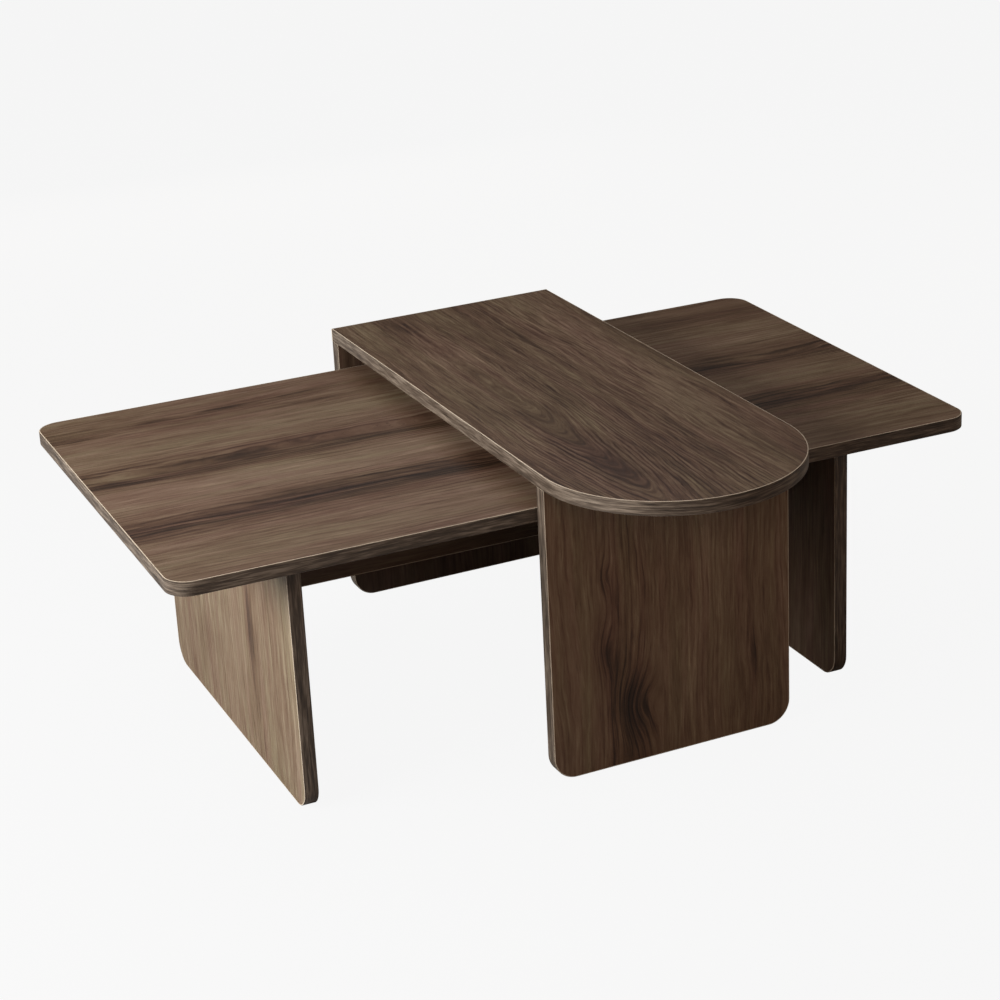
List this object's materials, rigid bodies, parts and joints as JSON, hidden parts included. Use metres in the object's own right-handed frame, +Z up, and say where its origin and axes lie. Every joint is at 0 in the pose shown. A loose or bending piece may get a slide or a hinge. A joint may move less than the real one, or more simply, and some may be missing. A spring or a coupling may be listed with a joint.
{
  "type": "nesting coffee tables",
  "caption": "Low rounded-corner coffee table with a taller, narrow, round-ended table standing astride it and sliding along it, in walnut-pattern board with edge bands.",
  "frame": {"origin": "on the floor under the centre of the bounding box of the two tables together", "axes": "+X along the low table's length, the tall table standing right of its middle; +Y to the back, away from the round end; +Z up"},
  "size_m": [1.05, 0.8276, 0.398],
  "materials": {
    "walnut_board": "satin melamine with a dark walnut print",
    "edge_band": "satin plastic edge band with a walnut print and paler scraped corners",
    "cam_metal": "plain zinc casting",
    "bolt_metal": "zinc-plated",
    "dowel_wood": "bare beech",
    "cap_plastic": "matt brown"
  },
  "bodies": {
    "low_table": {"low_left_leg_cam_bolt_1": "bolt_metal", "low_left_leg_cam_bolt_2": "bolt_metal", "low_left_leg_cam_lock_1": "cam_metal", "low_left_leg_cam_lock_2": "cam_metal", "low_left_leg_cover_cap_1": "cap_plastic", "low_left_leg_cover_cap_2": "cap_plastic", "low_left_leg_dowel_1": "dowel_wood", "low_left_leg_dowel_2": "dowel_wood", "low_left_leg_edge_band": "edge_band", "low_left_leg_panel": "walnut_board", "low_right_leg_cam_bolt_1": "bolt_metal", "low_right_leg_cam_bolt_2": "bolt_metal", "low_right_leg_cam_lock_1": "cam_metal", "low_right_leg_cam_lock_2": "cam_metal", "low_right_leg_cover_cap_1": "cap_plastic", "low_right_leg_cover_cap_2": "cap_plastic", "low_right_leg_dowel_1": "dowel_wood", "low_right_leg_dowel_2": "dowel_wood", "low_right_leg_edge_band": "edge_band", "low_right_leg_panel": "walnut_board", "low_stretcher_cam_bolt_1": "bolt_metal", "low_stretcher_cam_bolt_2": "bolt_metal", "low_stretcher_cam_lock_1": "cam_metal", "low_stretcher_cam_lock_2": "cam_metal", "low_stretcher_cover_cap_1": "cap_plastic", "low_stretcher_cover_cap_2": "cap_plastic", "low_stretcher_dowel_1": "dowel_wood", "low_stretcher_dowel_2": "dowel_wood", "low_stretcher_dowel_3": "dowel_wood", "low_stretcher_dowel_4": "dowel_wood", "low_stretcher_edge_band": "edge_band", "low_stretcher_panel": "walnut_board", "low_top_edge_band": "edge_band", "low_top_panel": "walnut_board"},
    "tall_table": {"tall_front_leg_cam_bolt_1": "bolt_metal", "tall_front_leg_cam_bolt_2": "bolt_metal", "tall_front_leg_cam_lock_1": "cam_metal", "tall_front_leg_cam_lock_2": "cam_metal", "tall_front_leg_cover_cap_1": "cap_plastic", "tall_front_leg_cover_cap_2": "cap_plastic", "tall_front_leg_dowel_1": "dowel_wood", "tall_front_leg_dowel_2": "dowel_wood", "tall_front_leg_edge_band": "edge_band", "tall_front_leg_panel": "walnut_board", "tall_rear_leg_cam_bolt_1": "bolt_metal", "tall_rear_leg_cam_bolt_2": "bolt_metal", "tall_rear_leg_cam_lock_1": "cam_metal", "tall_rear_leg_cam_lock_2": "cam_metal", "tall_rear_leg_cover_cap_1": "cap_plastic", "tall_rear_leg_cover_cap_2": "cap_plastic", "tall_rear_leg_dowel_1": "dowel_wood", "tall_rear_leg_dowel_2": "dowel_wood", "tall_rear_leg_edge_band": "edge_band", "tall_rear_leg_panel": "walnut_board", "tall_top_back_edge_band": "edge_band", "tall_top_long_edge_band": "edge_band", "tall_top_panel": "walnut_board"}
  },
  "joints": [
    {"name": "tall_table_slide", "type": "slide", "parent": "low_table", "child": "tall_table", "axis": [1, 0, 0], "range_m": [-0.43, 0.27]}
  ]
}
